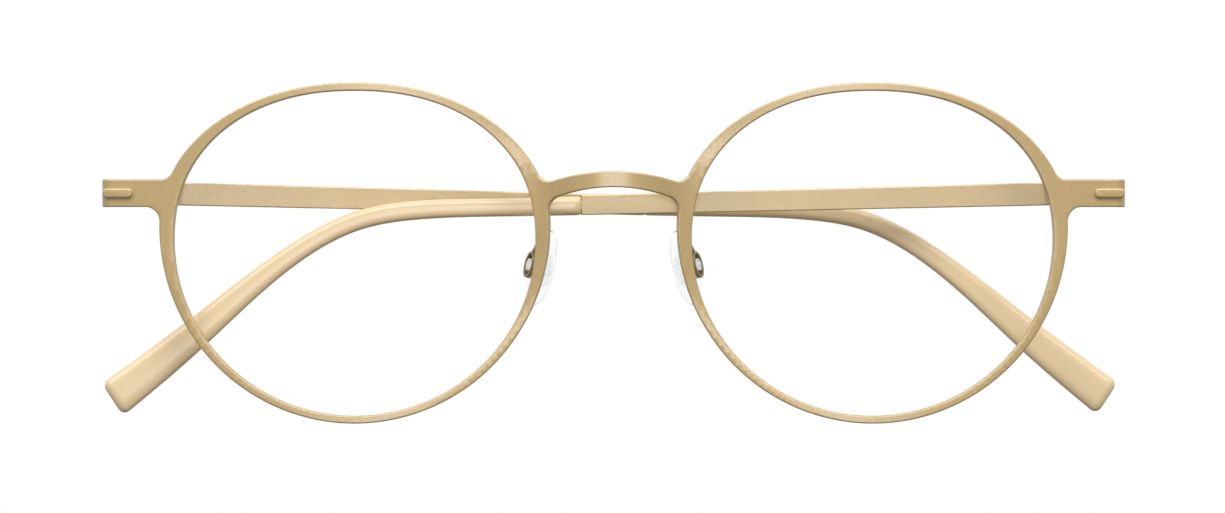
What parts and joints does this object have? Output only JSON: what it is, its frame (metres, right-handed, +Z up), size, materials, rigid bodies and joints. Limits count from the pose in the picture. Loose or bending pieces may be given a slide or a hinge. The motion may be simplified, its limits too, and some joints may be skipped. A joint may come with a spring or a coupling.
{
  "type": "eyeglasses frame",
  "caption": "Round thin-metal eyeglasses frame with its temples folded behind it; holds lenses in front of the eyes and rests on nose and ears.",
  "frame": {"origin": "centre of the folded frame: mid-bridge across the face, on the datum line through the lens centres, half-way through the folded depth", "axes": "+X towards the wearer's left, +Z up, -Y out of the front of the frame"},
  "size_m": [0.138, 0.0198, 0.0458],
  "materials": {
    "gold_metal": "satin champagne gold with a fine metallic grain",
    "tip_plastic": "smooth semi-matt cream plastic",
    "screw_metal": "bright turned steel",
    "pad_silicone": "clear soft silicone"
  },
  "bodies": {
    "front": {"front_plate": "gold_metal", "left_eye_wire": "gold_metal", "left_closing_block_upper": "gold_metal", "left_closing_block_lower": "gold_metal", "left_closing_screw": "screw_metal", "left_end_stud": "gold_metal", "left_front_hinge_leaf": "gold_metal", "left_hinge_screw": "screw_metal", "left_pad_arm": "gold_metal", "left_pad_box": "gold_metal", "right_eye_wire": "gold_metal", "right_closing_block_upper": "gold_metal", "right_closing_block_lower": "gold_metal", "right_closing_screw": "screw_metal", "right_end_stud": "gold_metal", "right_front_hinge_leaf": "gold_metal", "right_hinge_screw": "screw_metal", "right_pad_arm": "gold_metal", "right_pad_box": "gold_metal"},
    "left_temple": {"left_temple_hinge_leaf": "gold_metal", "left_temple_strip": "gold_metal", "left_temple_tip": "tip_plastic"},
    "left_pad": {"left_pad_screw": "screw_metal", "left_pad_insert": "screw_metal", "left_nose_pad": "pad_silicone"},
    "right_temple": {"right_temple_hinge_leaf": "gold_metal", "right_temple_strip": "gold_metal", "right_temple_tip": "tip_plastic"},
    "right_pad": {"right_pad_screw": "screw_metal", "right_pad_insert": "screw_metal", "right_nose_pad": "pad_silicone"}
  },
  "joints": [
    {"name": "left_temple_hinge", "type": "hinge", "parent": "front", "child": "left_temple", "pos_m": [0.0662, -0.0025, 0.00807], "axis": [0, 0, -1], "range_deg": [0, 90]},
    {"name": "right_temple_hinge", "type": "hinge", "parent": "front", "child": "right_temple", "pos_m": [-0.0662, -0.0025, 0.00807], "axis": [0, 0, 1], "range_deg": [0, 86.2]},
    {"name": "left_pad_rock", "type": "hinge", "parent": "front", "child": "left_pad", "pos_m": [0.01084, -0.00227, -0.0017], "axis": [-0.4101, -0.9063, -0.1022], "range_deg": [-6, 6]},
    {"name": "right_pad_rock", "type": "hinge", "parent": "front", "child": "right_pad", "pos_m": [-0.01084, -0.00227, -0.0017], "axis": [-0.4101, 0.9063, 0.1022], "range_deg": [-6, 6]}
  ]
}
